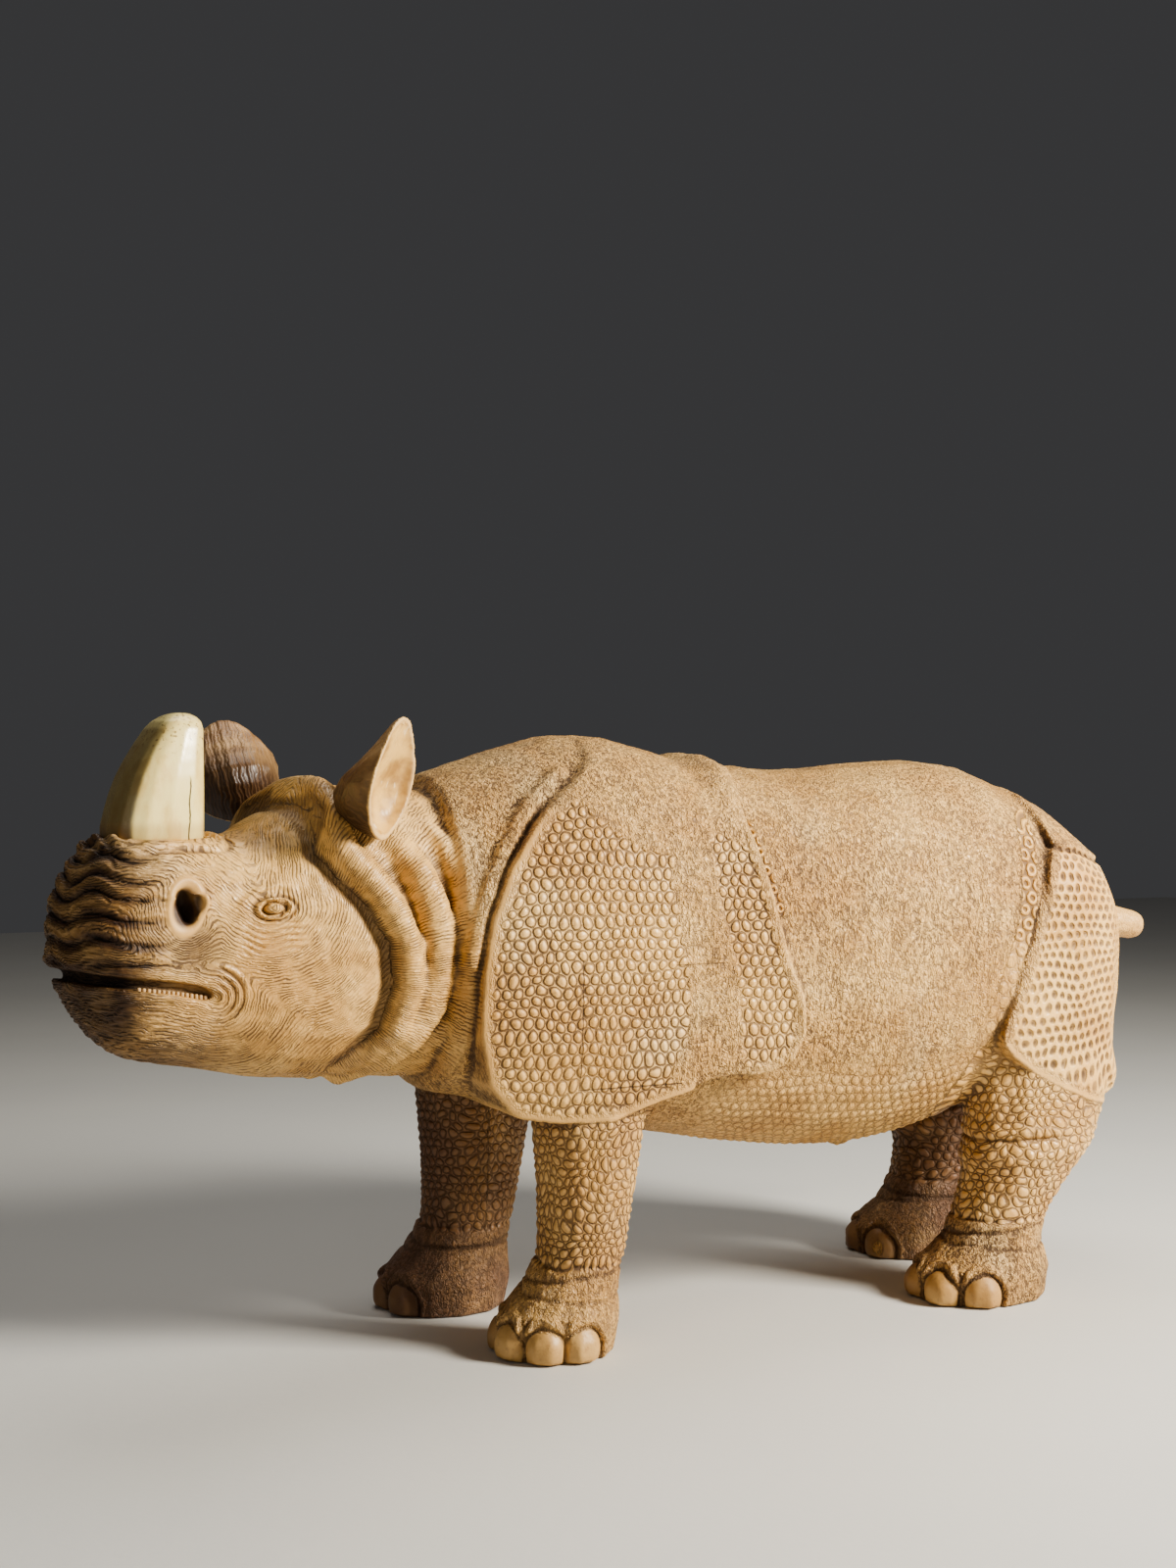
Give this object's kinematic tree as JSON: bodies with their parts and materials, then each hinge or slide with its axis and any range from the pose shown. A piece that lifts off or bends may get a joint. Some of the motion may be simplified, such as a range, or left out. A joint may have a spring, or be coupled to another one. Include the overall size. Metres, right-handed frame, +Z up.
{
  "type": "carved rhinoceros figure",
  "caption": "Standing armoured rhinoceros carved in wood, head turned to its left, with a pale let-in horn, let-in ears and a tail stub.",
  "frame": {"origin": "on the floor, under the middle of the figure's bounding box", "axes": "+Z up, the head looks along -X, the tail points along +X, the animal's left side faces -Y"},
  "size_m": [1.602, 0.4442, 0.7652],
  "materials": {
    "carved_wood": "tan hardwood, tooled all over with scales and hair strokes, waxed on the high places",
    "smooth_wood": "brown, sanded smooth, satin",
    "pale_horn": "cream, polished, with a fine crack and brown specks"
  },
  "bodies": {
    "root": {"rhinoceros_body": "carved_wood", "horn": "pale_horn", "ear_left": "smooth_wood", "ear_right": "smooth_wood", "tail": "carved_wood"}
  },
  "joints": []
}
